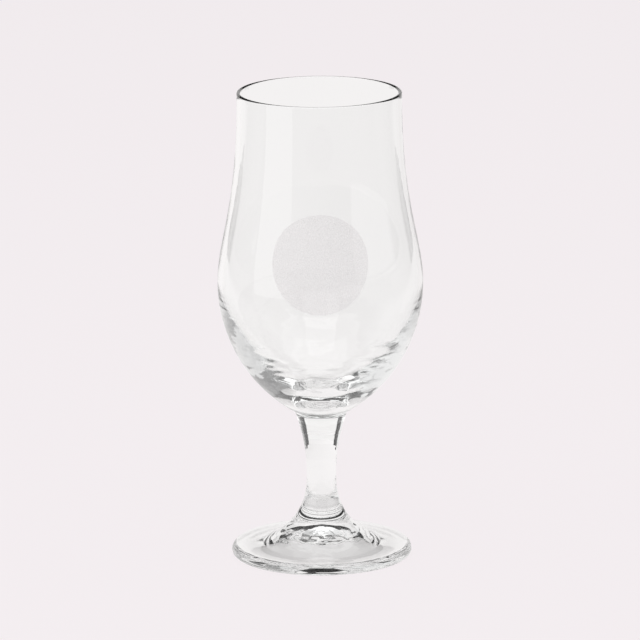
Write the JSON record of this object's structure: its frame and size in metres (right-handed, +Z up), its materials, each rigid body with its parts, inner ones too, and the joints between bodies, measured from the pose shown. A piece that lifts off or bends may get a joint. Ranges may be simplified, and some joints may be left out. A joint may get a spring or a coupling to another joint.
{
  "type": "stemmed beer glass",
  "caption": "Clear stemmed beer glass: a tulip bowl that narrows to a round lip, on a solid stem and a flared round foot, with a plain round frosted print on the front.",
  "frame": {"origin": "on the table, under the middle of the foot", "axes": "+Z up along the axis of the glass, -Y towards the front, where the print is"},
  "size_m": [0.0764, 0.0767, 0.176],
  "materials": {
    "clear_glass": "clear, fire-polished, with a faint green-grey tint where it is thick",
    "frosted_print": "frosted satin, fired on"
  },
  "bodies": {
    "root": {"bowl": "clear_glass", "stem": "clear_glass", "foot": "clear_glass", "print_disc": "frosted_print"}
  },
  "joints": []
}
